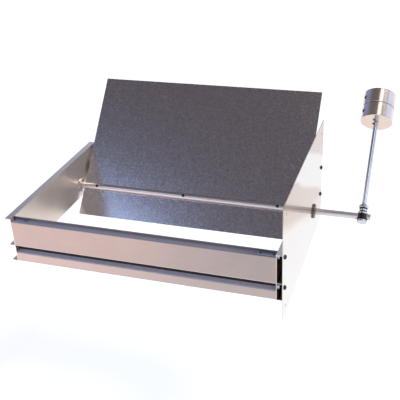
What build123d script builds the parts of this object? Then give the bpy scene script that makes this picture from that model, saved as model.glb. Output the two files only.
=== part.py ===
from build123d import *
import math
import os

# A slide-in relief damper for the side of an air duct.
#
# Row frame, in millimetres: the origin is the centre of the mounting plate's duct-side
# face. +X runs along the shaft, out of the duct, +Y runs towards the back rail, +Z is up.
# The blade is drawn open, as it rests on the back rail's top edge.

# Frame
frame_width = 508.0  # over the webs of the two side walls
frame_depth = 362.0  # front face to back face
frame_height = 91.5
section_wall = 1.2  # thickness of the wall and rail sections

# Side walls, an E-shaped section with its three flanges outwards
wall_depth = 12.5  # web and flanges together
middle_flange_top = 35.0  # above the frame's underside

# Front and back rails, an open section with a groove along its outer face
rail_depth = 13.5
rail_upstand = 4.9  # ledge to the inner top edge
groove_floor_height = 19.5
groove_roof_height = 33.0
rail_bend = 1.6  # bend radius at the middle of the section's thickness

# Mounting plate
plate_height = 227.0
plate_thickness = 1.2
plate_below_frame = 40.5
plate_past_rails = 8.0
plate_corner_radius = 2.0
duct_hole_diameter = 5.0
duct_hole_inset_y = 22.0
duct_hole_inset_z = 22.5

# Shaft and bushings
shaft_diameter = 12.7
shaft_behind_front = 278.4  # front face of the frame to the shaft's axis
shaft_above_bottom = 24.5
shaft_past_plate = 112.5  # mounting plate's outer face to the shaft's end
shaft_past_left_web = 8.0
bushing_body_diameter = 17.0
bushing_flange_diameter = 29.0
bushing_flange_thickness = 3.0
bushing_body_length = 8.0  # past the flange
bushing_play = 0.05  # radial, round the shaft
bushing_seat_play = 0.1  # radial, in its hole
cavity_bushing_gap = 1.5  # between the two bushings' ends, behind the plate
shaft_chamfer = 0.6

# Blade
blade_thickness = 1.2
blade_end_gap = 5.0  # to each side wall
blade_front_gap = 8.0  # closed, to the front rail
blade_back_gap = 5.5  # closed, to the back rail
blade_rest_gap = 0.3  # open, to the back rail's top edge
blade_screw_positions = (41.0, 243.0, 447.0)  # from the left wall's outer face
blade_screw_diameter = 3.5
blade_screw_head_diameter = 5.6
blade_screw_head_height = 2.0
blade_screw_seat_depth = 1.0  # spot face below the shaft's surface
blade_screw_past_nut = 1.0
blade_nut_across_flats = 7.0
blade_nut_height = 3.2

# Blade stop, an angle on the front rail's rib
stop_leg = 16.0
stop_drop = 9.0
stop_thickness = 1.2
stop_end_gap = 30.0
stop_gap = 0.5  # closed, under the blade

# Corner clips on the rails' top ledges
clip_length = 33.0
clip_upright = 4.5
clip_thickness = 1.0
clip_edge_gap = 2.4  # to the rail's face
clip_upstand_gap = 1.4  # to the rail's upstand

# Screws that hold the mounting plate, in nuts welded on the right wall's web
plate_screw_diameter = 5.0
plate_screw_head_diameter = 8.5
plate_screw_head_height = 2.8
plate_screw_head_edge = 1.0  # chamfer
plate_screw_behind_rail_face = 6.8
plate_screw_below_top = 6.0
plate_screw_above_bottom = 24.0
plate_screw_tip_gap = 0.5  # to the web
plate_nut_across_flats = 8.0
plate_nut_height = 4.0

# Weighted arm
hub_past_plate = 96.7  # mounting plate's outer face to the hub's middle
hub_diameter = 20.0
hub_foot = 12.6  # below the shaft's axis
hub_head = 9.5  # above the shaft's axis
hub_play = 0.05  # radial, on the shaft
hub_edge = 0.6  # chamfer round the foot
hub_shoulder = 2.0  # chamfer round the head
arm_angle = 39.0  # above the horizontal, leaning back
rod_diameter = 9.5
rod_foot_gap = 0.05  # to the shaft
hub_lock_washer_thickness = 1.8
washer_diameter = 15.2
washer_thickness = 3.2
lock_washer_diameter = 15.8
lock_washer_thickness = 3.4
rod_nut_across_flats = 17.0
rod_nut_height = 6.5
weight_diameter = 65.5
weight_height = 32.0
weight_start = 212.0  # shaft axis to the lower weight's underside
weight_seam = 0.3
weight_edge = 0.8  # chamfer
weight_screw_diameter = 7.9
weight_screw_socket = 4.0  # across flats
weight_screw_socket_depth = 4.0
weight_screw_tip_gap = 0.1  # to the rod
weight_screw_depth = 7.0  # weight's side to the screw's outer end
weight_screw_turn = 57.0  # from the front of the arm towards the left wall
pin_diameter = 3.5
pin_past_rod = 2.5
pin_set_back = 0.3  # from the rod's far side
pin_below_weight = 3.0
pin_turn = 60.0  # from the front of the arm towards the left wall

# General fits
screw_play = 0.2  # radial, in a plain hole
thread_play = 0.05  # radial, in a nut or a tapped hole
rod_play = 0.1  # radial, in the weights

# Places worked out from the sizes
plate_depth = frame_depth + 2 * plate_past_rails
flange_reach = wall_depth - section_wall
right_web_x = -flange_reach
left_web_x = right_web_x - frame_width
right_inside_x = right_web_x - section_wall
left_inside_x = left_web_x + section_wall
plate_outer_x = plate_thickness
frame_front_y = -frame_depth / 2
frame_back_y = frame_depth / 2
frame_bottom_z = -plate_height / 2 + plate_below_frame
frame_top_z = frame_bottom_z + frame_height
inner_width = right_inside_x - left_inside_x
rail_inside_y = frame_front_y + rail_depth
ledge_z = frame_top_z - rail_upstand
clip_depth = rail_depth - section_wall - clip_edge_gap - clip_upstand_gap
duct_hole_spacing_y = plate_depth - 2 * duct_hole_inset_y
duct_hole_spacing_z = plate_height - 2 * duct_hole_inset_z

plate_screw_hole_radius = plate_screw_diameter / 2 + screw_play
plate_screw_length = plate_thickness + flange_reach - plate_screw_tip_gap
plate_screw_points = [
    (screw_y, frame_bottom_z + screw_height)
    for screw_y in (
        frame_front_y + plate_screw_behind_rail_face,
        frame_back_y - plate_screw_behind_rail_face,
    )
    for screw_height in (plate_screw_above_bottom, frame_height - plate_screw_below_top)
]

shaft_radius = shaft_diameter / 2
shaft_y = frame_front_y + shaft_behind_front
shaft_z = frame_bottom_z + shaft_above_bottom
shaft_left_x = left_web_x - shaft_past_left_web
shaft_right_x = plate_outer_x + shaft_past_plate
bushing_hole_radius = bushing_body_diameter / 2 + bushing_seat_play
cavity_bushing_length = (flange_reach - cavity_bushing_gap) / 2

# The blade lies behind the shaft and leans on the inner top edge of the back rail
edge_behind_shaft = frame_back_y - rail_depth - shaft_y
edge_above_shaft = frame_top_z - shaft_z
blade_back_offset = shaft_radius + blade_thickness
lean = math.asin((blade_back_offset + blade_rest_gap) / math.hypot(edge_behind_shaft, edge_above_shaft))
blade_angle = math.degrees(math.atan2(edge_above_shaft, edge_behind_shaft) + lean)
blade_long_side = shaft_behind_front - rail_depth - blade_front_gap
blade_short_side = edge_behind_shaft - blade_back_gap
closing_turn = 180.0 - blade_angle
blade_hole_radius = blade_screw_diameter / 2 + screw_play
blade_screw_points = [(left_web_x + position, 0) for position in blade_screw_positions]
blade_screw_seat = shaft_radius - blade_screw_seat_depth
blade_screw_length = blade_screw_seat + blade_back_offset + blade_nut_height + blade_screw_past_nut
stop_top_z = shaft_z + shaft_radius - stop_gap

# Distances along the arm from the shaft's axis
hub_middle_x = plate_outer_x + hub_past_plate
rod_foot = shaft_radius + rod_foot_gap
washer_start = hub_head + hub_lock_washer_thickness
lock_washer_start = washer_start + washer_thickness
rod_nut_start = lock_washer_start + lock_washer_thickness
weight_top = weight_start + 2 * weight_height + weight_seam
pin_height = weight_start - pin_below_weight - pin_diameter / 2
pin_start = pin_set_back - rod_diameter / 2
weight_screw_inner = rod_diameter / 2 + weight_screw_tip_gap
weight_screw_length = weight_diameter / 2 - weight_screw_depth - weight_screw_inner


def shaft_plane(x):
    """Plane across the shaft at x: local x is +Y, local y is +Z, and its normal is +X."""
    return Plane(origin=(x, shaft_y, shaft_z), x_dir=(0, 1, 0), z_dir=(1, 0, 0))


def tilted_plane(x, angle):
    """Plane through the shaft's axis at x whose normal leans back at an angle from the horizontal."""
    turn = math.radians(angle)
    return Plane(origin=(x, shaft_y, shaft_z), x_dir=(1, 0, 0), z_dir=(0, math.cos(turn), math.sin(turn)))


def cross_plane(height, turn):
    """Plane through the arm's middle line at a height along it, whose normal points out of its side.

    The turn is from the front of the arm towards the left wall.
    """
    side = math.radians(turn)
    out = arm_plane.from_local_coords(Vector(-math.sin(side), -math.cos(side), 0)) - arm_plane.origin
    return Plane(origin=arm_plane.offset(height).origin, x_dir=arm_plane.z_dir, z_dir=out)


def section_plane(web_x):
    """Plane across a side wall at the back, from its web's outer corner: local x is +X, local y is +Z."""
    return Plane(origin=(web_x, frame_back_y, frame_bottom_z), x_dir=(1, 0, 0), z_dir=(0, -1, 0))


def wall_section(web_side):
    """E-shaped section in the XZ plane from the web's outer corner, its flanges towards web_side."""
    web_align = Align.MAX if web_side > 0 else Align.MIN
    flange_align = Align.MIN if web_side > 0 else Align.MAX
    Rectangle(section_wall, frame_height, align=(web_align, Align.MIN))
    for top in (section_wall, middle_flange_top, frame_height):
        with Locations((0, top)):
            Rectangle(flange_reach, section_wall, align=(flange_align, Align.MAX))


def rail_path(outer_y, inward):
    """Middle line of the rail's section in the YZ plane, from the bottom lip to the top edge."""
    half = section_wall / 2
    outer = outer_y + inward * half
    inner = outer_y + inward * (rail_depth - half)
    lip_end = outer_y + inward * rail_depth
    floor = frame_bottom_z + groove_floor_height - half
    roof = frame_bottom_z + groove_roof_height + half
    ledge = ledge_z - half
    bottom = frame_bottom_z + half
    FilletPolyline(
        (lip_end, bottom),
        (outer, bottom),
        (outer, floor),
        (inner, floor),
        (inner, roof),
        (outer, roof),
        (outer, ledge),
        (inner, ledge),
        (inner, frame_top_z),
        radius=rail_bend,
    )


blade_plane = tilted_plane(0, blade_angle + 90)
arm_plane = tilted_plane(hub_middle_x, arm_angle)
os.makedirs("parts", exist_ok=True)

# Rails
for rail_name, rail_outer_y, rail_inward in (
    ("front_rail", frame_front_y, 1),
    ("back_rail", frame_back_y, -1),
):
    with BuildPart() as rail:
        with BuildSketch(Plane.YZ.offset(left_inside_x)):
            with BuildLine():
                rail_path(rail_outer_y, rail_inward)
            trace(line_width=section_wall)
        extrude(amount=inner_width)
    rail.part.label = rail_name
    export_step(rail.part, "parts/" + rail_name + ".step")

# Side walls, each an extruded section with a hole for its bushing
with BuildPart() as left_wall:
    with BuildSketch(section_plane(left_web_x)):
        wall_section(-1)
    extrude(amount=frame_depth)
    with BuildSketch(shaft_plane(left_web_x)):
        Circle(bushing_hole_radius)
    extrude(amount=section_wall, mode=Mode.SUBTRACT)
left_wall.part.label = "left_wall"
export_step(left_wall.part, "parts/left_wall.step")

with BuildPart() as right_wall:
    with BuildSketch(section_plane(right_web_x)):
        wall_section(1)
    extrude(amount=frame_depth)
    with BuildSketch(shaft_plane(right_inside_x)):
        Circle(bushing_hole_radius)
    extrude(amount=section_wall, mode=Mode.SUBTRACT)
right_wall.part.label = "right_wall"
export_step(right_wall.part, "parts/right_wall.step")

# Mounting plate, with its corner holes for the screws into the duct
with BuildPart() as mounting_plate:
    with BuildSketch(Plane.YZ):
        RectangleRounded(plate_depth, plate_height, plate_corner_radius)
        with GridLocations(duct_hole_spacing_y, duct_hole_spacing_z, 2, 2):
            Circle(duct_hole_diameter / 2, mode=Mode.SUBTRACT)
        with Locations(*plate_screw_points):
            Circle(plate_screw_hole_radius, mode=Mode.SUBTRACT)
        with Locations((shaft_y, shaft_z)):
            Circle(bushing_hole_radius, mode=Mode.SUBTRACT)
    extrude(amount=plate_thickness)
mounting_plate.part.label = "mounting_plate"
export_step(mounting_plate.part, "parts/mounting_plate.step")

# Flanged bushings, one in each wall's web and one in the mounting plate
for bushing_name, seat_x, body_way, body_length in (
    ("left_bushing", left_inside_x, -1, bushing_body_length),
    ("right_bushing", right_inside_x, 1, section_wall + cavity_bushing_length),
    ("plate_bushing", plate_outer_x, -1, plate_thickness + cavity_bushing_length),
):
    with BuildPart() as bushing:
        with BuildSketch(shaft_plane(seat_x)):
            Circle(bushing_flange_diameter / 2)
            Circle(shaft_radius + bushing_play, mode=Mode.SUBTRACT)
        extrude(amount=-body_way * bushing_flange_thickness)
        with BuildSketch(shaft_plane(seat_x)):
            Circle(bushing_body_diameter / 2)
            Circle(shaft_radius + bushing_play, mode=Mode.SUBTRACT)
        extrude(amount=body_way * body_length)
    bushing.part.label = bushing_name
    export_step(bushing.part, "parts/" + bushing_name + ".step")

# Screws through the mounting plate, and the nuts that they turn in
for screw_number, (screw_y, screw_z) in enumerate(plate_screw_points, start=1):
    with BuildPart() as plate_screw:
        with BuildSketch(Plane.YZ.offset(plate_outer_x)):
            with Locations((screw_y, screw_z)):
                Circle(plate_screw_head_diameter / 2)
        extrude(amount=plate_screw_head_height)
        chamfer(
            plate_screw.edges().filter_by(GeomType.CIRCLE).group_by(Axis.X)[-1],
            length=plate_screw_head_edge,
        )
        with BuildSketch(Plane.YZ.offset(plate_outer_x)):
            with Locations((screw_y, screw_z)):
                Circle(plate_screw_diameter / 2)
        extrude(amount=-plate_screw_length)
    plate_screw.part.label = "plate_screw_" + str(screw_number)
    export_step(plate_screw.part, "parts/" + plate_screw.part.label + ".step")

with BuildPart() as plate_nuts:
    with BuildSketch(Plane.YZ.offset(right_web_x)):
        with Locations(*plate_screw_points):
            RegularPolygon(plate_nut_across_flats / 2, 6, major_radius=False)
            Circle(plate_screw_diameter / 2 + thread_play, mode=Mode.SUBTRACT)
    extrude(amount=plate_nut_height)
plate_nuts.part.label = "plate_nuts"
export_step(plate_nuts.part, "parts/plate_nuts.step")

# Corner clips: each lies on a rail's ledge and turns up against the side wall
for clip_name, clip_outer_y, clip_inward, clip_wall_x, clip_along in (
    ("front_left_clip", frame_front_y, 1, left_inside_x, 1),
    ("front_right_clip", frame_front_y, 1, right_inside_x, -1),
    ("back_left_clip", frame_back_y, -1, left_inside_x, 1),
    ("back_right_clip", frame_back_y, -1, right_inside_x, -1),
):
    clip_face_y = clip_outer_y + clip_inward * clip_edge_gap
    with BuildPart() as clip:
        with BuildSketch(Plane(origin=(0, clip_face_y, 0), x_dir=(1, 0, 0), z_dir=(0, -1, 0))):
            with BuildLine():
                Polyline(
                    (clip_wall_x + clip_along * clip_thickness / 2, ledge_z + clip_upright),
                    (clip_wall_x + clip_along * clip_thickness / 2, ledge_z + clip_thickness / 2),
                    (clip_wall_x + clip_along * clip_length, ledge_z + clip_thickness / 2),
                )
            trace(line_width=clip_thickness)
        extrude(amount=-clip_inward * clip_depth)
    clip.part.label = clip_name
    export_step(clip.part, "parts/" + clip_name + ".step")

# Blade stop: an angle on the front rail's rib, its level leg just under the closed blade
with BuildPart() as blade_stop:
    with BuildSketch(Plane.YZ.offset(left_inside_x + stop_end_gap)):
        with BuildLine():
            FilletPolyline(
                (rail_inside_y + stop_thickness / 2, stop_top_z - stop_drop),
                (rail_inside_y + stop_thickness / 2, stop_top_z - stop_thickness / 2),
                (rail_inside_y + stop_leg, stop_top_z - stop_thickness / 2),
                radius=rail_bend,
            )
        trace(line_width=stop_thickness)
    extrude(amount=inner_width - 2 * stop_end_gap)
blade_stop.part.label = "blade_stop"
export_step(blade_stop.part, "parts/blade_stop.step")

# Blade, one flat sheet behind the shaft, with holes for its three screws
with BuildPart() as blade:
    with BuildSketch(blade_plane.offset(-blade_back_offset)):
        with Locations(((left_inside_x + right_inside_x) / 2, -blade_short_side)):
            Rectangle(
                inner_width - 2 * blade_end_gap,
                blade_short_side + blade_long_side,
                align=(Align.CENTER, Align.MIN),
            )
        with Locations(*blade_screw_points):
            Circle(blade_hole_radius, mode=Mode.SUBTRACT)
    extrude(amount=blade_thickness)
blade.part.label = "blade"
export_step(blade.part, "parts/blade.step")

# Shaft, drilled across for the blade's screws
with BuildPart() as shaft:
    with BuildSketch(shaft_plane(shaft_left_x)):
        Circle(shaft_radius)
    extrude(amount=shaft_right_x - shaft_left_x)
    chamfer(shaft.edges().filter_by(GeomType.CIRCLE), length=shaft_chamfer)
    with BuildSketch(blade_plane.offset(-shaft_radius)):
        with Locations(*blade_screw_points):
            Circle(blade_hole_radius)
    extrude(amount=shaft_diameter, mode=Mode.SUBTRACT)
    with BuildSketch(blade_plane.offset(blade_screw_seat)):
        with Locations(*blade_screw_points):
            Circle(blade_screw_head_diameter / 2 + screw_play)
    extrude(amount=shaft_radius, mode=Mode.SUBTRACT)
shaft.part.label = "shaft"
export_step(shaft.part, "parts/shaft.step")

# Blade screws, from the front of the shaft through the blade to their nuts
for screw_number, screw_point in enumerate(blade_screw_points, start=1):
    with BuildPart() as blade_screw:
        with BuildSketch(blade_plane.offset(blade_screw_seat)):
            with Locations(screw_point):
                Circle(blade_screw_head_diameter / 2)
        extrude(amount=blade_screw_head_height)
        with BuildSketch(blade_plane.offset(blade_screw_seat)):
            with Locations(screw_point):
                Circle(blade_screw_diameter / 2)
        extrude(amount=-blade_screw_length)
    blade_screw.part.label = "blade_screw_" + str(screw_number)
    export_step(blade_screw.part, "parts/" + blade_screw.part.label + ".step")

with BuildPart() as blade_nuts:
    with BuildSketch(blade_plane.offset(-blade_back_offset)):
        with Locations(*blade_screw_points):
            RegularPolygon(blade_nut_across_flats / 2, 6, major_radius=False)
            Circle(blade_screw_diameter / 2 + thread_play, mode=Mode.SUBTRACT)
    extrude(amount=-blade_nut_height)
blade_nuts.part.label = "blade_nuts"
export_step(blade_nuts.part, "parts/blade_nuts.step")

# Arm hub, a round block bored across for the shaft and tapped from above for the rod
with BuildPart() as arm_hub:
    with BuildSketch(arm_plane.offset(-hub_foot)):
        Circle(hub_diameter / 2)
    extrude(amount=hub_foot + hub_head)
    chamfer(arm_hub.edges().filter_by(GeomType.CIRCLE).sort_by(Axis.Z)[0], length=hub_edge)
    chamfer(arm_hub.edges().filter_by(GeomType.CIRCLE).sort_by(Axis.Z)[-1], length=hub_shoulder)
    with BuildSketch(shaft_plane(hub_middle_x)):
        Circle(shaft_radius + hub_play)
    extrude(amount=hub_diameter, both=True, mode=Mode.SUBTRACT)
    with BuildSketch(arm_plane):
        Circle(rod_diameter / 2 + thread_play)
    extrude(amount=hub_head, mode=Mode.SUBTRACT)
arm_hub.part.label = "arm_hub"
export_step(arm_hub.part, "parts/arm_hub.step")

# Rod: its foot presses on the shaft and its top ends flush with the upper weight
with BuildPart() as arm_rod:
    with BuildSketch(arm_plane.offset(rod_foot)):
        Circle(rod_diameter / 2)
    extrude(amount=weight_top - rod_foot)
    with BuildSketch(cross_plane(pin_height, pin_turn)):
        Circle(pin_diameter / 2 + thread_play)
    extrude(amount=rod_diameter, both=True, mode=Mode.SUBTRACT)
arm_rod.part.label = "arm_rod"
export_step(arm_rod.part, "parts/arm_rod.step")

# Washers and nut that lock the rod on the hub
for ring_name, ring_start, ring_thickness, ring_diameter in (
    ("hub_lock_washer", hub_head, hub_lock_washer_thickness, lock_washer_diameter),
    ("rod_washer", washer_start, washer_thickness, washer_diameter),
    ("rod_lock_washer", lock_washer_start, lock_washer_thickness, lock_washer_diameter),
):
    with BuildPart() as ring:
        with BuildSketch(arm_plane.offset(ring_start)):
            Circle(ring_diameter / 2)
            Circle(rod_diameter / 2 + screw_play, mode=Mode.SUBTRACT)
        extrude(amount=ring_thickness)
    ring.part.label = ring_name
    export_step(ring.part, "parts/" + ring_name + ".step")

with BuildPart() as rod_nut:
    with BuildSketch(arm_plane.offset(rod_nut_start)):
        RegularPolygon(rod_nut_across_flats / 2, 6, major_radius=False)
        Circle(rod_diameter / 2 + thread_play, mode=Mode.SUBTRACT)
    extrude(amount=rod_nut_height)
rod_nut.part.label = "rod_nut"
export_step(rod_nut.part, "parts/rod_nut.step")

# Stop pin across the rod, under the weights, proud on one side
with BuildPart() as stop_pin:
    with BuildSketch(cross_plane(pin_height, pin_turn).offset(pin_start)):
        Circle(pin_diameter / 2)
    extrude(amount=rod_diameter / 2 + pin_past_rod - pin_start)
stop_pin.part.label = "stop_pin"
export_step(stop_pin.part, "parts/stop_pin.step")

# Two round weights, each with a set screw in a radial hole
for weight_name, weight_low in (
    ("lower_weight", weight_start),
    ("upper_weight", weight_start + weight_height + weight_seam),
):
    screw_plane = cross_plane(weight_low + weight_height / 2, weight_screw_turn)
    with BuildPart() as weight:
        with BuildSketch(arm_plane.offset(weight_low)):
            Circle(weight_diameter / 2)
        extrude(amount=weight_height)
        chamfer(weight.edges().filter_by(GeomType.CIRCLE), length=weight_edge)
        with BuildSketch(arm_plane.offset(weight_low)):
            Circle(rod_diameter / 2 + rod_play)
        extrude(amount=weight_height, mode=Mode.SUBTRACT)
        with BuildSketch(screw_plane):
            Circle(weight_screw_diameter / 2 + thread_play)
        extrude(amount=weight_diameter, mode=Mode.SUBTRACT)
    weight.part.label = weight_name
    export_step(weight.part, "parts/" + weight_name + ".step")

    with BuildPart() as weight_screw:
        with BuildSketch(screw_plane.offset(weight_screw_inner)):
            Circle(weight_screw_diameter / 2)
        extrude(amount=weight_screw_length)
        with BuildSketch(screw_plane.offset(weight_screw_inner + weight_screw_length)):
            RegularPolygon(weight_screw_socket / 2, 6, major_radius=False)
        extrude(amount=-weight_screw_socket_depth, mode=Mode.SUBTRACT)
    weight_screw.part.label = weight_name + "_screw"
    export_step(weight_screw.part, "parts/" + weight_screw.part.label + ".step")

print("blade angle", round(blade_angle, 3), "closing turn", round(closing_turn, 3))
print("shaft axis", round(shaft_y, 3), round(shaft_z, 3))
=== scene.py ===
"""Finishes and small hardware of a duct relief damper, laid out as a Blender add-on."""

import math

import bmesh
import bpy
from bpy.props import FloatProperty, FloatVectorProperty, PointerProperty
from mathutils import Matrix, Vector


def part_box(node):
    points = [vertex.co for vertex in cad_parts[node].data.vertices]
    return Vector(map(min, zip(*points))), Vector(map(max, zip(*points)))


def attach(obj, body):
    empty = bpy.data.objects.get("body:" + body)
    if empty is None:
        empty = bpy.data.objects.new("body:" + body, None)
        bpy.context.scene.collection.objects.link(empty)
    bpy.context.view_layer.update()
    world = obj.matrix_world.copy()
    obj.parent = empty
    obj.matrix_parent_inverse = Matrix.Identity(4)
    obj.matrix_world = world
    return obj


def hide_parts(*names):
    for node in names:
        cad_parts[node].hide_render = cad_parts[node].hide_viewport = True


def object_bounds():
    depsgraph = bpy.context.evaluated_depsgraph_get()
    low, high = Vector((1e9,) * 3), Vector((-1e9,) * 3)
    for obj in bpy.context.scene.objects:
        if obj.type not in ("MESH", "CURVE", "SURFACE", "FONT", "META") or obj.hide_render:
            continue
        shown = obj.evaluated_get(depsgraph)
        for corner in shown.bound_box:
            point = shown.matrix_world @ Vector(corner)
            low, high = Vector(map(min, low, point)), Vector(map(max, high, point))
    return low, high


bl_info = {
    "name": "Duct Damper",
    "version": (1, 0, 0),
    "blender": (4, 5, 0),
    "location": "View3D > Sidebar > Duct Damper",
    "description": "Finishes and small hardware for a slide-in duct relief damper",
    "category": "Object",
}

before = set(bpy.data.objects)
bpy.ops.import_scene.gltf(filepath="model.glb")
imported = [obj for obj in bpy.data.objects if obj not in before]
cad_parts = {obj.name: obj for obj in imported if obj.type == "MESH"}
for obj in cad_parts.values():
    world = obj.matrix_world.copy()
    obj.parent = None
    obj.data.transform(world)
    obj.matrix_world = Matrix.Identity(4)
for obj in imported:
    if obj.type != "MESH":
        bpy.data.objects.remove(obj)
cad_low, cad_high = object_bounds()

# The view that the camera takes, in the damper's own frame, metres
CAMERA_PLACE = (0.21006, -1.16040, 0.66813)
CAMERA_RIGHT = (0.94872, 0.31250, -0.04761)
CAMERA_DOWN = (0.10902, -0.46483, -0.87866)
CAMERA_AHEAD = (-0.29671, 0.82842, -0.47506)
SENSOR_WIDTH = 36.0

# Edges that turn by more than this are shaded as sharp
SHARP_ANGLE = math.radians(35)

# Where a Mix node keeps its factor, its two colours and the colour that results
MIX_FACTOR, MIX_FIRST, MIX_SECOND, MIX_RESULT = 0, 6, 7, 2

# Most of a noise's values lie between these
NOISE_LOW, NOISE_HIGH = 0.3, 0.7


def colour(name, description, default):
    return FloatVectorProperty(
        name=name,
        description=description,
        default=default,
        size=3,
        subtype="COLOR",
        min=0.0,
        max=1.0,
    )


def length(name, description, default):
    return FloatProperty(
        name=name, description=description, default=default, unit="LENGTH", min=0.0
    )


def offset(name, description, default):
    return FloatProperty(name=name, description=description, default=default, unit="LENGTH")


def angle(name, description, default):
    return FloatProperty(name=name, description=description, default=default, subtype="ANGLE")


def amount(name, description, default):
    return FloatProperty(name=name, description=description, default=default, min=0.0)


class DamperFinishes(bpy.types.PropertyGroup):
    """Colours of the damper's metals, and where their bands and lines lie"""

    section_colour: colour("Sections", "Mill finish of the rails", (0.40, 0.335, 0.305))
    # Painted reflection: the cool tints of faces that point up, on the rails' ledges and the
    # groove's floor.
    ledge_reflection_colour: colour("Dust", "Dull film on the rails' ledges", (0.27, 0.262, 0.30))
    groove_reflection_colour: colour("Groove", "Pale film on the groove's floor", (0.84, 0.80, 0.86))
    # Painted highlight: a bright line along the edge above the groove.
    lip_highlight_colour: colour("Lip", "Bright edge above the groove", (0.80, 0.68, 0.62))
    groove_floor: length("Groove floor", "Rail's foot to the groove's floor", 0.0195)
    groove_roof: length("Groove roof", "Rail's foot to the groove's roof", 0.0330)
    # Painted highlight: height of the bright line above the groove.
    lip_highlight_height: length("Lip", "Height of the bright edge above the groove", 0.0022)
    clip_colour: colour("Clips", "Dull zinc of the corner clips", (0.42, 0.42, 0.47))
    # Painted light: the side walls take a lighter copy of the rails' mill finish.
    lit_wall_colour: colour("Side walls", "Mill finish of the side walls", (0.73, 0.635, 0.525))
    plate_colour: colour("Plate", "Warm bands of the mounting plate's sheet", (0.48, 0.35, 0.235))
    plate_cool: colour(
        "Plate, cool", "Cool bands of the mounting plate's sheet", (0.69, 0.645, 0.56)
    )
    plate_band_lean: angle(
        "Plate bands", "Lean of the plate's warm and cool bands", math.radians(28)
    )
    blade_colour: colour("Blade", "Darker part of the blade's spangle", (0.465, 0.42, 0.435))
    spangle_colour: colour("Spangle", "Lighter part of the spangle", (0.575, 0.53, 0.548))
    shaft_colour: colour("Shaft", "Drawn bar of the shaft", (0.66, 0.60, 0.575))
    rod_colour: colour("Rod", "Bright bar of the arm's rod", (0.68, 0.70, 0.76))
    weight_colour: colour("Weights", "Turned steel of the weights", (0.80, 0.70, 0.62))
    # Painted reflection: the warm tint of the weights' undersides.
    underside_reflection_colour: colour(
        "Weight underside", "Warmer underside of the weights", (0.66, 0.51, 0.40)
    )
    # Painted shade: width of the dark lines along the weights' seam and edges.
    weight_shade_width: length("Weight edge", "Width of the dark line at a weight's edge", 0.0010)
    zinc_colour: colour("Zinc", "Bright plate on the nuts and the rod's washer", (0.66, 0.70, 0.77))
    hub_colour: colour("Hub", "Zinc plate on the ends of the arm's hub", (0.55, 0.55, 0.57))
    # A dark band round the hub, between two heights along the arm.
    band_colour: colour("Hub band", "Oily band round the hub", (0.035, 0.032, 0.036))
    band_foot: offset("Band foot", "Foot of the hub's band, from the shaft's axis", -0.0085)
    band_head: offset("Band head", "Head of the hub's band, from the shaft's axis", 0.0045)
    bronze_colour: colour("Bushings", "Sintered bronze of the wall bushings", (0.78, 0.66, 0.60))
    # Painted shade: the plate's bushing takes a darker copy of the bushings' bronze.
    shaded_bushing_colour: colour(
        "Plate bushing", "Oiled bronze of the plate's bushing", (0.17, 0.14, 0.125)
    )
    dark_colour: colour(
        "Dark screws", "Dark oxide on screws, rivets and lock washers", (0.035, 0.033, 0.036)
    )


class DamperHardware(bpy.types.PropertyGroup):
    """Sizes of the small hardware"""

    socket_radius: length("Socket", "Radius to the corners of a screw's hexagon socket", 0.0019)
    socket_depth: length("Socket depth", "Depth of a screw's socket", 0.0016)
    shank_radius: length("Shank", "Radius of a plate screw over its thread", 0.0025)
    thread_pitch: length("Thread pitch", "Pitch of the plate screws' thread", 0.0008)
    thread_depth: length("Thread depth", "Depth of the plate screws' thread", 0.0004)
    rivet_radius: length("Rivet", "Radius of a clip rivet's head", 0.0019)
    rivet_height: length("Rivet height", "Height of a clip rivet's head", 0.0010)
    rivet_inset: length("Rivet inset", "Clip's end to its outer rivet", 0.0050)
    clip_thickness: length("Clip thickness", "Thickness of a clip's sheet", 0.0010)
    washer_gap: angle("Washer gap", "Open part of a lock washer", math.radians(14))
    washer_bore: length("Washer bore", "Radius of a lock washer's hole", 0.00495)
    nut_chamfer: length("Nut chamfer", "Height of the chamfer on the nut's corners", 0.0011)
    nut_bore: length("Nut bore", "Radius of the nut's bore", 0.0048)


class DamperStage(bpy.types.PropertyGroup):
    """Camera, floor and light"""

    lens: FloatProperty(
        name="Lens", description="Focal length for a 36 mm sensor", default=64.49, unit="CAMERA"
    )
    floor_reach: length("Floor reach", "Half the floor's side", 30.0)
    floor_drop: length(
        "Floor drop", "Space between the damper, held up for its portrait, and the floor", 0.35
    )
    floor_colour: colour("Floor", "Pale floor", (0.97, 0.95, 0.92))
    floor_glow: amount("Floor glow", "Light from the floor itself", 0.42)
    sky_strength: amount("Sky", "Strength of the light all round", 1.3)
    sky_colour: colour("Horizon", "Light round the horizon", (0.62, 0.74, 1.0))
    side_colour: colour("Left horizon", "Dim cool light from the left", (0.20, 0.23, 0.42))
    roof_colour: colour("Overhead", "Dim studio overhead", (0.127, 0.117, 0.125))
    sun_strength: amount("Key light", "Strength of the high key light", 1.2)


def arm_lean():
    """The arm's lean back from upright."""
    low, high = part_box("arm_rod")
    return math.atan2(high.y - low.y, high.z - low.z)


def arm_turn():
    """The turn from upright to the arm's lean, about X."""
    return Matrix.Rotation(-arm_lean(), 4, "X")


def level_along(point, lean):
    """Height of a point along an axis that leans back from upright."""
    return point.y * math.sin(lean) + point.z * math.cos(lean)


def length_along(low, high, width, lean):
    """Length of a leaning piece along its axis, from its box and its width."""
    return (high.z - low.z - width * math.sin(lean)) / math.cos(lean)


def new_material(name, metallic=1.0):
    """A material with one Principled shader; returns the material, its tree and the shader."""
    material = bpy.data.materials.new(name)
    material.use_nodes = True
    tree = material.node_tree
    shader = tree.nodes["Principled BSDF"]
    shader.inputs["Metallic"].default_value = metallic
    return material, tree, shader


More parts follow.
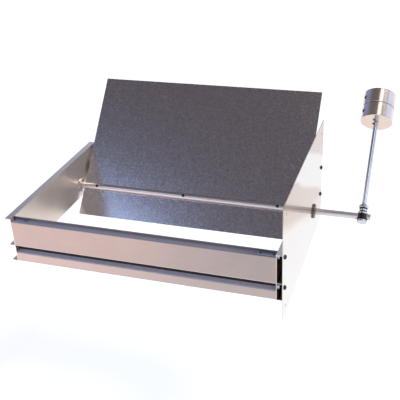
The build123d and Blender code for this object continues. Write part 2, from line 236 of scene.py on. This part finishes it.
def object_coordinates(tree, scale=(1.0, 1.0, 1.0), turn=(0.0, 0.0, 0.0)):
    """Object coordinates in metres, turned by one Mapping node and then scaled by another."""
    source = tree.nodes.new("ShaderNodeTexCoord")
    turned_round = tree.nodes.new("ShaderNodeMapping")
    turned_round.inputs["Rotation"].default_value = turn
    tree.links.new(source.outputs["Object"], turned_round.inputs["Vector"])
    scaled = tree.nodes.new("ShaderNodeMapping")
    scaled.inputs["Scale"].default_value = scale
    tree.links.new(turned_round.outputs["Vector"], scaled.inputs["Vector"])
    return scaled.outputs["Vector"]


def part_of(tree, vector, axis="Z"):
    """The X, Y or Z part of a vector."""
    split = tree.nodes.new("ShaderNodeSeparateXYZ")
    tree.links.new(vector, split.inputs["Vector"])
    return split.outputs[axis]


def height_of(tree, lean=0.0):
    """Height in object coordinates, along an axis that leans back from upright."""
    return part_of(tree, object_coordinates(tree, turn=(lean, 0.0, 0.0)))


def facing(tree):
    """How far a face points up: 1 is straight up, and -1 straight down."""
    source = tree.nodes.new("ShaderNodeTexCoord")
    return part_of(tree, source.outputs["Normal"])


def blend(tree, factor, low, high):
    """Mix two colours, each a socket or (r, g, b)."""
    node = tree.nodes.new("ShaderNodeMix")
    node.data_type = "RGBA"
    tree.links.new(factor, node.inputs[MIX_FACTOR])
    for place, rgb in ((MIX_FIRST, low), (MIX_SECOND, high)):
        if isinstance(rgb, bpy.types.NodeSocket):
            tree.links.new(rgb, node.inputs[place])
        else:
            node.inputs[place].default_value = (*rgb, 1.0)
    return node.outputs[MIX_RESULT]


def mix_values(tree, share, first, second):
    """Mix two values; the share is the second one's."""
    node = tree.nodes.new("ShaderNodeMix")
    node.inputs["Factor"].default_value = share
    tree.links.new(first, node.inputs["A"])
    tree.links.new(second, node.inputs["B"])
    return node.outputs["Result"]


def combine(tree, operation, first, second):
    """Combine two values by a Math node's operation."""
    node = tree.nodes.new("ShaderNodeMath")
    node.operation = operation
    tree.links.new(first, node.inputs[0])
    tree.links.new(second, node.inputs[1])
    return node.outputs["Value"]


def noise(tree, vector, scale, detail=3.0, rough=0.5):
    """Noise from 0 to 1."""
    node = tree.nodes.new("ShaderNodeTexNoise")
    node.inputs["Scale"].default_value = scale
    node.inputs["Detail"].default_value = detail
    node.inputs["Roughness"].default_value = rough
    tree.links.new(vector, node.inputs["Vector"])
    return node.outputs["Fac"]


def crystals(tree, vector, scale):
    """A value from 0 to 1 for each crystal."""
    node = tree.nodes.new("ShaderNodeTexVoronoi")
    node.inputs["Scale"].default_value = scale
    tree.links.new(vector, node.inputs["Vector"])
    cell = tree.nodes.new("ShaderNodeSeparateColor")
    tree.links.new(node.outputs["Color"], cell.inputs["Color"])
    return cell.outputs["Red"]


def ramp(tree, factor, low, high):
    """Colour ramp between two stops, each (position, (r, g, b))."""
    node = tree.nodes.new("ShaderNodeValToRGB")
    for element, (position, rgb) in zip(node.color_ramp.elements, (low, high)):
        element.position = position
        element.color = (*rgb, 1.0)
    tree.links.new(factor, node.inputs["Fac"])
    return node.outputs["Color"]


def spread(tree, factor, low, high):
    """Map a 0 to 1 factor to the range low to high."""
    node = tree.nodes.new("ShaderNodeMapRange")
    node.inputs["To Min"].default_value = low
    node.inputs["To Max"].default_value = high
    tree.links.new(factor, node.inputs["Value"])
    return node.outputs["Result"]


def steep(tree, factor, low, high, interpolation="LINEAR"):
    """Map the range low to high of a factor to 0 to 1."""
    node = tree.nodes.new("ShaderNodeMapRange")
    node.interpolation_type = interpolation
    node.inputs["From Min"].default_value = low
    node.inputs["From Max"].default_value = high
    tree.links.new(factor, node.inputs["Value"])
    return node.outputs["Result"]


def distance_from(tree, factor, middle):
    """How far a factor lies from a value, either way."""
    difference = tree.nodes.new("ShaderNodeMath")
    difference.operation = "SUBTRACT"
    tree.links.new(factor, difference.inputs[0])
    difference.inputs[1].default_value = middle
    size = tree.nodes.new("ShaderNodeMath")
    size.operation = "ABSOLUTE"
    tree.links.new(difference.outputs["Value"], size.inputs[0])
    return size.outputs["Value"]


def inside_band(tree, factor, low, high, soft_edge=0.0004):
    """A factor that is 1 between two values of another, with a soft edge inside each."""
    over_low = steep(tree, factor, low, low + soft_edge)
    under_high = steep(tree, factor, high, high - soft_edge)
    return combine(tree, "MULTIPLY", over_low, under_high)


def bump(tree, shader, height, strength, distance):
    """Tilt the shader's normals by a height."""
    node = tree.nodes.new("ShaderNodeBump")
    node.inputs["Strength"].default_value = strength
    node.inputs["Distance"].default_value = distance
    tree.links.new(height, node.inputs["Height"])
    tree.links.new(node.outputs["Normal"], shader.inputs["Normal"])


def roughen(tree, shader, factor, rough, less, more):
    """Let a 0 to 1 factor take the roughness from less than its usual value to more."""
    tree.links.new(spread(tree, factor, rough - less, rough + more), shader.inputs["Roughness"])


def painted_corner_shade(tree, base, reach, samples=12):
    """The base colour, darker where other faces stand nearer than the reach: painted shade in
    corners and recesses.
    """
    node = tree.nodes.new("ShaderNodeAmbientOcclusion")
    node.samples = samples
    node.inputs["Distance"].default_value = reach
    tree.links.new(base, node.inputs["Color"])
    return node.outputs["Color"]


def shade(rgb, share):
    """A colour made darker or lighter by a share."""
    return tuple(min(1.0, channel * share) for channel in rgb)


def mottled(tree, factor, rgb, dark, light):
    """A colour from its dark share to its light one, over the middle of a noise's range."""
    return ramp(tree, factor, (NOISE_LOW, shade(rgb, dark)), (NOISE_HIGH, shade(rgb, light)))


def rolled_metal(name, rgb, along, rough, shade_reach=0.006):
    """
    Rolled or drawn metal: fine streaks along one axis, broad cloudy tone, and painted shade in its
    corners.
    Returns the material, its tree, the shader and the base colour's socket.
    """
    material, tree, shader = new_material(name)
    streaks_across, streaks_along, cloud_share = 900.0, 14.0, 0.65
    stretch = [streaks_across] * 3
    stretch["XYZ".index(along)] = streaks_along
    streaks = noise(tree, object_coordinates(tree, scale=stretch), scale=1.0, detail=2.0)
    clouds = noise(tree, object_coordinates(tree), scale=9.0, detail=4.0, rough=0.6)
    tone = mix_values(tree, cloud_share, streaks, clouds)
    # Painted shade: corners and recesses darkened by an ambient occlusion node.
    base = painted_corner_shade(tree, mottled(tree, tone, rgb, dark=0.90, light=1.06), shade_reach)
    tree.links.new(base, shader.inputs["Base Color"])
    roughen(tree, shader, tone, rough, less=0.07, more=0.07)
    bump(tree, shader, streaks, strength=0.05, distance=0.0003)
    return material, tree, shader, base


def rail_metal(name, finish, rough):
    """Mill finish of the rails, with painted shade in the groove, a painted highlight on the lip
    above it, a painted lighter face below it, and a painted sky reflection on faces that point up.
    """
    rgb = finish.section_colour
    material, tree, shader, base = rolled_metal(name, rgb, "X", rough, shade_reach=0.0025)
    lit_lower_face_share, groove_shade_share, reflection_metallic = 1.12, 0.2, 0.25
    soft_edge, reflection_edge = 0.0002, 0.001
    reflection_starts, reflection_full = 0.6, 0.95
    height = height_of(tree)
    rail_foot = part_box("front_rail")[0].z
    floor, roof = rail_foot + finish.groove_floor, rail_foot + finish.groove_roof
    # Painted light: the rail's face below the groove is made lighter.
    lit_lower_face = steep(tree, height, floor, floor - soft_edge)
    base = blend(tree, lit_lower_face, base, shade(rgb, lit_lower_face_share))
    # Painted shade: the back of the groove, between its floor and roof, is darkened.
    painted_groove_shade = inside_band(tree, height, floor, roof)
    base = blend(tree, painted_groove_shade, base, shade(rgb, groove_shade_share))
    # Painted highlight: a bright line just above the groove's roof.
    painted_lip_highlight = inside_band(tree, height, roof - soft_edge, roof + finish.lip_highlight_height)
    base = blend(tree, painted_lip_highlight, base, finish.lip_highlight_colour)
    # Painted reflection: faces that point up take a cool, less metallic tint, paler on the groove's
    # floor.
    sky_reflection_share = steep(tree, facing(tree), reflection_starts, reflection_full)
    in_groove = steep(tree, height, roof, roof - reflection_edge)
    painted_reflection = blend(tree, in_groove, finish.ledge_reflection_colour, finish.groove_reflection_colour)
    tree.links.new(blend(tree, sky_reflection_share, base, painted_reflection), shader.inputs["Base Color"])
    tree.links.new(spread(tree, sky_reflection_share, 1.0, reflection_metallic), shader.inputs["Metallic"])
    return material


def scratches(tree):
    """A factor that is 1 on a few short thin scratches and 0 elsewhere."""
    along, across, way = 26.0, 900.0, math.radians(38)
    stretched = object_coordinates(tree, scale=(along, across, along), turn=(0.0, 0.0, way))
    lines = noise(tree, stretched, scale=1.0, detail=0.0)
    patches = noise(tree, object_coordinates(tree), scale=16.0, detail=1.0)
    line_starts, line_full = 0.735, 0.76
    thin = steep(tree, lines, line_starts, line_full)
    patch_starts, patch_full = 0.60, 0.66
    few = steep(tree, patches, patch_starts, patch_full)
    return combine(tree, "MULTIPLY", thin, few)


def spangled_sheet(name, dark_rgb, light_rgb, rough):
    """Galvanised sheet: fine crystal spangle with a finer grain, and a few scratches."""
    material, tree, shader = new_material(name)
    place = object_coordinates(tree)
    grain = noise(tree, place, scale=900.0, rough=0.7)
    grain_share, scratch_share = 0.45, 2.0
    darkest, lightest = 0.15, 0.85
    tone = mix_values(tree, grain_share, crystals(tree, place, scale=520.0), grain)
    base = ramp(tree, tone, (darkest, dark_rgb), (lightest, light_rgb))
    scratched = blend(tree, scratches(tree), base, shade(light_rgb, scratch_share))
    tree.links.new(scratched, shader.inputs["Base Color"])
    roughen(tree, shader, tone, rough, less=0.06, more=0.10)
    bump(tree, shader, grain, strength=0.10, distance=0.0004)
    return material


def polished_sheet(name, warm_rgb, cool_rgb, rough, band_lean):
    """Bright smooth sheet with soft warm and cool bands that lean, cooler towards its foot."""
    material, tree, shader = new_material(name)
    stretched = object_coordinates(tree, scale=(1.0, 3.0, 14.0))
    patches = noise(tree, stretched, scale=1.0, detail=2.0, rough=0.4)
    grain = noise(tree, object_coordinates(tree), scale=500.0, rough=0.6)
    height = height_of(tree, band_lean)
    band_middle, band_core, band_reach = 0.083, 0.014, 0.038
    cool_band = steep(tree, distance_from(tree, height, band_middle), band_reach, band_core)
    foot_top, foot_core = 0.0, -0.07
    cool_foot = steep(tree, height, foot_top, foot_core)
    cool = combine(tree, "MAXIMUM", cool_band, cool_foot)
    band_share, warmest, coolest = 0.5, 0.25, 0.44
    tone = mix_values(tree, band_share, patches, cool)
    base = ramp(tree, tone, (warmest, warm_rgb), (coolest, cool_rgb))
    # Painted shade: the plate's corners and recesses darkened by an ambient occlusion node.
    tree.links.new(painted_corner_shade(tree, base, reach=0.004), shader.inputs["Base Color"])
    roughen(tree, shader, grain, rough, less=0.05, more=0.05)
    bump(tree, shader, grain, strength=0.03, distance=0.0002)
    return material


def turned_metal(name, rgb, rough, lean, shade_reach):
    """
    Bar or disc turned about an axis that leans back from upright: fine rings round that axis.
    Returns the material, its tree, the shader and the base colour's socket.
    """
    material, tree, shader = new_material(name)
    stretched = object_coordinates(tree, scale=(8.0, 8.0, 1600.0), turn=(lean, 0.0, 0.0))
    rings = noise(tree, stretched, scale=1.0, detail=2.0)
    clouds = noise(tree, object_coordinates(tree), scale=40.0)
    base = mottled(tree, clouds, rgb, dark=0.92, light=1.05)
    # Painted shade: corners and recesses darkened by an ambient occlusion node.
    tree.links.new(painted_corner_shade(tree, base, shade_reach), shader.inputs["Base Color"])
    roughen(tree, shader, rings, rough, less=0.05, more=0.06)
    bump(tree, shader, rings, strength=0.06, distance=0.0002)
    return material, tree, shader, base


def weight_metal(name, finish, rough, lean):
    """Turned steel of the two weights, with a painted warm reflection on the underside and painted
    shade in the seam and along the edges.
    """
    material, tree, shader, base = turned_metal(
        name, finish.weight_colour, rough, lean, shade_reach=0.005
    )
    # Painted reflection: faces that point down are tinted warm.
    underside_starts, underside_full = -0.45, -0.70
    underside_reflection_share = steep(tree, facing(tree), underside_starts, underside_full)
    base = blend(tree, underside_reflection_share, base, finish.underside_reflection_colour)
    low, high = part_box("lower_weight")[0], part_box("upper_weight")[1]
    seam = level_along((low + high) / 2, lean)
    half = length_along(low, high, high.x - low.x, lean) / 2
    # Painted shade: dark lines in the seam between the weights and along their outer edges.
    edge, clear = finish.weight_shade_width, 0.0001
    lines = (
        (seam - half + clear, seam - half + edge),
        (seam - edge, seam + edge),
        (seam + half - edge, seam + half - clear),
    )
    along = height_of(tree, lean)
    for foot, head in lines:
        base = blend(tree, inside_band(tree, along, foot, head), base, finish.dark_colour)
    tree.links.new(base, shader.inputs["Base Color"])
    return material


def banded_metal(name, rgb, band_rgb, rough, lean, band):
    """Plated block on the leaning arm, with a dark band between two heights along the arm."""
    material, tree, shader = new_material(name)
    dark_band = inside_band(tree, height_of(tree, lean), *band)
    tree.links.new(blend(tree, dark_band, rgb, band_rgb), shader.inputs["Base Color"])
    shader.inputs["Roughness"].default_value = rough
    return material


def plated_metal(name, rgb, rough):
    """Plated or oiled small hardware with a slight mottle."""
    material, tree, shader = new_material(name)
    mottle = noise(tree, object_coordinates(tree), scale=600.0)
    base = mottled(tree, mottle, rgb, dark=0.8, light=1.1)
    tree.links.new(base, shader.inputs["Base Color"])
    roughen(tree, shader, mottle, rough, less=0.06, more=0.08)
    bump(tree, shader, mottle, strength=0.08, distance=0.0002)
    return material


def dress(material, *nodes):
    """Give CAD nodes a material."""
    for name in nodes:
        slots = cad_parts[name].data.materials
        slots.clear()
        slots.append(material)


def turned(profile, steps, closed=False):
    """
    A bmesh turned about Z from (radius, height) points.
    An open profile starts and ends on the axis.
    """
    shape = bmesh.new()
    points = [shape.verts.new((radius, 0.0, height)) for radius, height in profile]
    ends = zip(points, points[1:] + points[:1]) if closed else zip(points, points[1:])
    edges = [shape.edges.new(pair) for pair in ends]
    bmesh.ops.spin(
        shape,
        geom=points + edges,
        cent=(0.0, 0.0, 0.0),
        axis=(0.0, 0.0, 1.0),
        dvec=(0.0, 0.0, 0.0),
        angle=math.tau,
        steps=steps,
        use_merge=True,
    )
    bmesh.ops.remove_doubles(shape, verts=shape.verts, dist=1e-6)
    return shape


def press_hexagon(shape, radius, near=1e-5):
    """Move the rings of one radius on to a hexagon whose corners lie at that radius."""
    for vert in shape.verts:
        if abs(vert.co.xy.length - radius) < near:
            off_middle = math.atan2(vert.co.y, vert.co.x) % (math.pi / 3) - math.pi / 6
            vert.co.xy *= math.cos(math.pi / 6) / math.cos(off_middle)


def new_piece(name, shape, material, body, slot, *stands_for):
    """Make a bmesh an object that rides on a body, in place of the CAD nodes that it stands for."""
    bmesh.ops.recalc_face_normals(shape, faces=shape.faces)
    mesh = bpy.data.meshes.new(name)
    shape.to_mesh(mesh)
    shape.free()
    mesh.shade_smooth()
    mesh.set_sharp_from_angle(angle=SHARP_ANGLE)
    mesh.materials.append(material)
    piece = bpy.data.objects.new(name, mesh)
    bpy.context.scene.collection.objects.link(piece)
    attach(piece, body)
    if stands_for:
        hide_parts(*stands_for)


class DAMPER_OT_frame_sections(bpy.types.Operator):
    """Finish the rails, walls, clips and blade stop"""

    bl_idname = "damper.frame_sections"
    bl_label = "Frame Sections"

    def execute(self, context):
        finish = context.scene.damper_finishes
        dress(rail_metal("rail_mill_finish", finish, rough=0.32), "front_rail", "back_rail")
        # Painted light: a lighter copy of the mill finish for the side walls.
        walls = rolled_metal("lit_wall_mill_finish", finish.lit_wall_colour, "Y", rough=0.38)[0]
        dress(walls, "left_wall", "right_wall")
        clips = [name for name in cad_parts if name.endswith("_clip")]
        dress(plated_metal("clip_zinc", finish.clip_colour, rough=0.45), *clips, "blade_stop")
        return {"FINISHED"}


class DAMPER_OT_mounting_plate(bpy.types.Operator):
    """Finish the mounting plate"""

    bl_idname = "damper.mounting_plate"
    bl_label = "Mounting Plate"

    def execute(self, context):
        finish = context.scene.damper_finishes
        sheet = polished_sheet(
            "plate_sheet",
            finish.plate_colour,
            finish.plate_cool,
            rough=0.16,
            band_lean=finish.plate_band_lean,
        )
        dress(sheet, "mounting_plate")
        return {"FINISHED"}


class DAMPER_OT_blade(bpy.types.Operator):
    """Finish the blade"""

    bl_idname = "damper.blade"
    bl_label = "Blade"

    def execute(self, context):
        finish = context.scene.damper_finishes
        sheet = spangled_sheet(
            "blade_sheet", finish.blade_colour, finish.spangle_colour, rough=0.22
        )
        dress(sheet, "blade")
        return {"FINISHED"}


class DAMPER_OT_shaft_and_arm(bpy.types.Operator):
    """Finish the shaft, bushings, hub, rod, washer and weights"""

    bl_idname = "damper.shaft_and_arm"
    bl_label = "Shaft and Arm"

    def execute(self, context):
        finish = context.scene.damper_finishes
        bar = rolled_metal("shaft_bar", finish.shaft_colour, "X", rough=0.33, shade_reach=0.004)[0]
        dress(bar, "shaft")
        lean = arm_lean()
        rod = turned_metal("rod_bar", finish.rod_colour, 0.12, lean, shade_reach=0.004)[0]
        dress(rod, "arm_rod")
        steel = weight_metal("turned_steel", finish, rough=0.20, lean=lean)
        dress(steel, "lower_weight", "upper_weight")
        low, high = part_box("shaft")
        shaft_level = level_along((low + high) / 2, lean)
        band = (shaft_level + finish.band_foot, shaft_level + finish.band_head)
        hub = banded_metal(
            "hub_zinc", finish.hub_colour, finish.band_colour, rough=0.25, lean=lean, band=band
        )
        dress(hub, "arm_hub")
        dress(plated_metal("bright_zinc", finish.zinc_colour, rough=0.22), "rod_washer")
        bronze = plated_metal("bronze", finish.bronze_colour, rough=0.34)
        dress(bronze, "left_bushing", "right_bushing")
        # Painted shade: a darker copy of the bushings' bronze for the plate's bushing.
        shaded_bronze = plated_metal("shaded_bronze", finish.shaded_bushing_colour, rough=0.36)
        dress(shaded_bronze, "plate_bushing")
        return {"FINISHED"}


class DAMPER_OT_screws(bpy.types.Operator):
    """Finish the screws, the stop pin and the hidden nuts"""

    bl_idname = "damper.screws"
    bl_label = "Screws"

    def execute(self, context):
        finish = context.scene.damper_finishes
        dark = plated_metal("dark_oxide", finish.dark_colour, rough=0.35)
        screws = [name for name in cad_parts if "screw" in name]
        dress(dark, *screws, "stop_pin")
        zinc = plated_metal("nut_zinc", finish.zinc_colour, rough=0.3)
        dress(zinc, "plate_nuts", "blade_nuts")
        return {"FINISHED"}


class DAMPER_OT_plate_screws(bpy.types.Operator):
    """Model the button head screws of the mounting plate"""

    bl_idname = "damper.plate_screws"
    bl_label = "Plate Screws"

    def execute(self, context):
        size = context.scene.damper_hardware
        finish = context.scene.damper_finishes
        dark = plated_metal("dark_oxide_screw", finish.dark_colour, rough=0.30)
        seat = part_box("mounting_plate")[1].x
        for name in [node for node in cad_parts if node.startswith("plate_screw_")]:
            low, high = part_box(name)
            radius = (high.y - low.y) / 2
            height = high.x - seat
            shape = turned(self.profile(size, radius, height, seat - low.x), steps=48)
            press_hexagon(shape, size.socket_radius)
            place = Matrix.Translation((seat, (low.y + high.y) / 2, (low.z + high.z) / 2))
            shape.transform(place @ Matrix.Rotation(math.pi / 2, 4, "Y"))
            new_piece("button_" + name, shape, dark, "frame", "dark_screw", name)
        return {"FINISHED"}

    def profile(self, size, radius, height, reach):
        """Tip, threaded shank, domed head and socket, from the tip up."""
        root = size.shank_radius - size.thread_depth
        points = [(0.0, -reach), (root, -reach)]
        turns = int(reach / size.thread_pitch) - 1
        for turn in range(turns):
            foot = -reach + turn * size.thread_pitch
            points.append((size.shank_radius, foot + size.thread_pitch / 2))
            points.append((root, foot + size.thread_pitch))
        points.append((size.shank_radius, 0.0))
        points.append((radius, 0.0))
        rim_share = 0.2
        for degrees in range(10, 80, 10):
            bend = math.radians(degrees)
            rise = rim_share + (1 - rim_share) * math.sin(bend)
            points.append((radius * math.cos(bend), height * rise))
        points.append((size.socket_radius, height))
        points.append((size.socket_radius, height - size.socket_depth))
        points.append((0.0, height - size.socket_depth))
        return points


class DAMPER_OT_clip_rivets(bpy.types.Operator):
    """Model the two rivets in each corner clip"""

    bl_idname = "damper.clip_rivets"
    bl_label = "Clip Rivets"

    def execute(self, context):
        size = context.scene.damper_hardware
        finish = context.scene.damper_finishes
        dark = plated_metal("dark_rivet", finish.dark_colour, rough=0.35)
        profile = self.profile(size)
        for name in [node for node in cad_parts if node.endswith("_clip")]:
            low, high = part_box(name)
            level = low.z + size.clip_thickness
            whole = bmesh.new()
            for x in (low.x + size.rivet_inset, high.x - size.rivet_inset):
                rivet = turned(profile, steps=24)
                rivet.transform(Matrix.Translation((x, (low.y + high.y) / 2, level)))
                loose = bpy.data.meshes.new("rivet")
                rivet.to_mesh(loose)
                rivet.free()
                whole.from_mesh(loose)
                bpy.data.meshes.remove(loose)
            new_piece(name.replace("clip", "rivets"), whole, dark, "frame", "dark_screw")
        return {"FINISHED"}

    def profile(self, size):
        """Foot inside the clip's sheet and domed head, from the foot up."""
        foot = -size.clip_thickness / 2
        points = [(0.0, foot), (size.rivet_radius, foot)]
        for degrees in range(0, 90, 15):
            bend = math.radians(degrees)
            points.append((size.rivet_radius * math.cos(bend), size.rivet_height * math.sin(bend)))
        points.append((0.0, size.rivet_height))
        return points


class DAMPER_OT_arm_hardware(bpy.types.Operator):
    """Model the split lock washers and the chamfered nut on the arm"""

    bl_idname = "damper.arm_hardware"
    bl_label = "Arm Hardware"

    def execute(self, context):
        size = context.scene.damper_hardware
        finish = context.scene.damper_finishes
        spring_steel = plated_metal("washer_spring_steel", finish.dark_colour, rough=0.30)
        self.add_lock_washer("split_hub_washer", "hub_lock_washer", size, spring_steel)
        self.add_lock_washer("split_lock_washer", "rod_lock_washer", size, spring_steel)
        self.add_nut(size, plated_metal("arm_nut_zinc", finish.zinc_colour, rough=0.22))
        return {"FINISHED"}

    def add_lock_washer(self, name, node, size, material):
        low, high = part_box(node)
        radius = (high.x - low.x) / 2
        thickness = length_along(low, high, 2 * radius, arm_lean())
        steps, lift_share, split_side = 44, 0.12, math.radians(200)
        lift = lift_share * thickness
        foot, head = -thickness / 2, thickness / 2 - lift
        shape = bmesh.new()
        bore = size.washer_bore
        corners = ((bore, foot), (radius, foot), (radius, head), (bore, head))
        verts = [shape.verts.new((reach, 0.0, height)) for reach, height in corners]
        section = shape.faces.new(verts)
        bmesh.ops.spin(
            shape,
            geom=[section, *section.edges, *section.verts],
            cent=(0.0, 0.0, 0.0),
            axis=(0.0, 0.0, 1.0),
            dvec=(0.0, 0.0, lift / steps),
            angle=math.tau - size.washer_gap,
            steps=steps,
        )
        place = Matrix.Translation((low + high) / 2) @ arm_turn()
        shape.transform(place @ Matrix.Rotation(split_side, 4, "Z"))
        new_piece(name, shape, material, "blade_and_arm", "dark_screw", node)

    def add_nut(self, size, material):
        low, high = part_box("rod_nut")
        corner = (high.x - low.x) / 2
        flats = corner * math.cos(math.pi / 6)
        face_share = 0.96
        face = face_share * flats
        half = length_along(low, high, 2 * flats, arm_lean()) / 2
        chamfer = size.nut_chamfer
        profile = [
            (size.nut_bore, -half),
            (face, -half),
            (corner, -half + chamfer),
            (corner, half - chamfer),
            (face, half),
            (size.nut_bore, half),
        ]
        shape = turned(profile, steps=48, closed=True)
        press_hexagon(shape, corner)
        shape.transform(Matrix.Translation((low + high) / 2) @ arm_turn())
        new_piece("chamfered_rod_nut", shape, material, "blade_and_arm", "zinc_nut", "rod_nut")


class DAMPER_OT_stage(bpy.types.Operator):
    """Set the camera, the floor and the light"""

    bl_idname = "damper.stage"
    bl_label = "Stage"

    def execute(self, context):
        stage = context.scene.damper_stage
        self.add_camera(context, stage)
        self.add_floor(context, stage)
        self.add_sky(context, stage)
        self.add_sun(context, stage)
        self.add_softboxes(context)
        context.scene.view_settings.view_transform = "Standard"
        return {"FINISHED"}

    def add_camera(self, context, stage):
        data = bpy.data.cameras.new("camera")
        data.lens = stage.lens
        data.sensor_width = SENSOR_WIDTH
        camera = bpy.data.objects.new("camera", data)
        context.scene.collection.objects.link(camera)
        right, up, back = Vector(CAMERA_RIGHT), -Vector(CAMERA_DOWN), -Vector(CAMERA_AHEAD)
        turn = Matrix((right, up, back)).transposed()
        camera.matrix_world = Matrix.Translation(CAMERA_PLACE) @ turn.to_4x4()
        context.scene.camera = camera

    def add_floor(self, context, stage):
        mesh = bpy.data.meshes.new("floor")
        shape = bmesh.new()
        bmesh.ops.create_grid(shape, x_segments=1, y_segments=1, size=stage.floor_reach)
        bmesh.ops.translate(shape, verts=shape.verts, vec=(0.0, 0.0, cad_low.z - stage.floor_drop))
        shape.to_mesh(mesh)
        shape.free()
        floor = bpy.data.objects.new("floor", mesh)
        context.scene.collection.objects.link(floor)
        material, _, shader = new_material("pale_floor", metallic=0.0)
        shader.inputs["Base Color"].default_value = (*stage.floor_colour, 1.0)
        shader.inputs["Roughness"].default_value = 0.9
        shader.inputs["Emission Color"].default_value = (1.0, 1.0, 1.0, 1.0)
        shader.inputs["Emission Strength"].default_value = stage.floor_glow
        mesh.materials.append(material)

    def add_sky(self, context, stage):
        """A bright horizon, dimmer to the left, under a dim studio roof."""
        roof_foot, roof_full = 0.45, 0.74
        left_full, left_edge = -0.60, -0.35
        world = bpy.data.worlds.new("studio")
        context.scene.world = world
        world.use_nodes = True
        tree = world.node_tree
        background = tree.nodes["Background"]
        way = tree.nodes.new("ShaderNodeTexCoord").outputs["Generated"]
        height = steep(tree, part_of(tree, way), roof_foot, roof_full, "SMOOTHSTEP")
        side = steep(tree, part_of(tree, way, "X"), left_full, left_edge, "SMOOTHSTEP")
        horizon = ramp(tree, side, (0.0, stage.side_colour), (1.0, stage.sky_colour))
        sky = blend(tree, height, horizon, stage.roof_colour)
        tree.links.new(sky, background.inputs["Color"])
        background.inputs["Strength"].default_value = stage.sky_strength

    def add_sun(self, context, stage):
        data = bpy.data.lights.new("key", "SUN")
        data.energy = stage.sun_strength
        data.angle = math.radians(25)
        sun = bpy.data.objects.new("key", data)
        sun.rotation_euler = (math.radians(-18), math.radians(32), 0.0)
        context.scene.collection.objects.link(sun)

    def add_softboxes(self, context):
        blade, rail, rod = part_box("blade"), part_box("front_rail"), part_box("arm_rod")
        weights_low, weights_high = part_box("lower_weight")[0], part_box("upper_weight")[1]
        self.add_softbox(
            context,
            "cool_softbox",
            target=Vector((blade[0].x, blade[0].y, 0.0)),
            way=(-0.44, -0.66, 0.60),
            distance=2.0,
            size=(0.7, 0.5),
            power=3.5,
            rgb=(0.42, 0.60, 1.0),
        )
        self.add_softbox(
            context,
            "warm_softbox",
            target=Vector((rail[0].x, rail[0].y, cad_low.z)),
            way=(-0.40, -0.70, -0.45),
            distance=0.6,
            size=(0.8, 0.8),
            power=1.5,
            rgb=(1.0, 0.60, 0.50),
        )
        self.add_softbox(
            context,
            "top_softbox",
            target=(weights_low + weights_high) / 2,
            way=(0.24, -0.14, 0.95),
            distance=1.6,
            size=(1.3, 0.4),
            power=3.2,
            rgb=(1.0, 0.97, 0.90),
        )
        self.add_softbox(
            context,
            "rod_softbox",
            target=(rod[0] + rod[1]) / 2,
            way=(0.676, -0.383, 0.629),
            distance=1.3,
            size=(1.2, 0.5),
            power=2.8,
            rgb=(0.88, 0.95, 1.0),
        )

    def add_softbox(self, context, name, target, way, distance, size, power, rgb):
        """A soft light on a stand, which faces the target from a way."""
        data = bpy.data.lights.new(name, "AREA")
        data.shape = "RECTANGLE"
        data.size, data.size_y = size
        data.energy = power
        data.color = rgb
        softbox = bpy.data.objects.new(name, data)
        way = Vector(way).normalized()
        softbox.location = target + way * distance
        softbox.rotation_mode = "QUATERNION"
        softbox.rotation_quaternion = way.to_track_quat("Z", "Y")
        softbox.visible_camera = False
        context.scene.collection.objects.link(softbox)


class DAMPER_PT_panel(bpy.types.Panel):
    """Lists the steps that dress the damper"""

    bl_idname = "DAMPER_PT_panel"
    bl_label = "Duct Damper"
    bl_space_type = "VIEW_3D"
    bl_region_type = "UI"
    bl_category = "Duct Damper"

    def draw(self, context):
        for operator in STEPS:
            self.layout.operator(operator.bl_idname)


STEPS = (
    DAMPER_OT_frame_sections,
    DAMPER_OT_mounting_plate,
    DAMPER_OT_blade,
    DAMPER_OT_shaft_and_arm,
    DAMPER_OT_screws,
    DAMPER_OT_plate_screws,
    DAMPER_OT_clip_rivets,
    DAMPER_OT_arm_hardware,
    DAMPER_OT_stage,
)
CLASSES = (DamperFinishes, DamperHardware, DamperStage, *STEPS, DAMPER_PT_panel)


def register():
    for cls in CLASSES:
        bpy.utils.register_class(cls)
    bpy.types.Scene.damper_finishes = PointerProperty(type=DamperFinishes)
    bpy.types.Scene.damper_hardware = PointerProperty(type=DamperHardware)
    bpy.types.Scene.damper_stage = PointerProperty(type=DamperStage)


def unregister():
    del bpy.types.Scene.damper_stage
    del bpy.types.Scene.damper_hardware
    del bpy.types.Scene.damper_finishes
    for cls in reversed(CLASSES):
        bpy.utils.unregister_class(cls)


def main():
    register()
    bpy.ops.damper.frame_sections()
    bpy.ops.damper.mounting_plate()
    bpy.ops.damper.blade()
    bpy.ops.damper.shaft_and_arm()
    bpy.ops.damper.screws()
    bpy.ops.damper.plate_screws()
    bpy.ops.damper.clip_rivets()
    bpy.ops.damper.arm_hardware()
    bpy.ops.damper.stage()


if __name__ == "__main__":
    main()
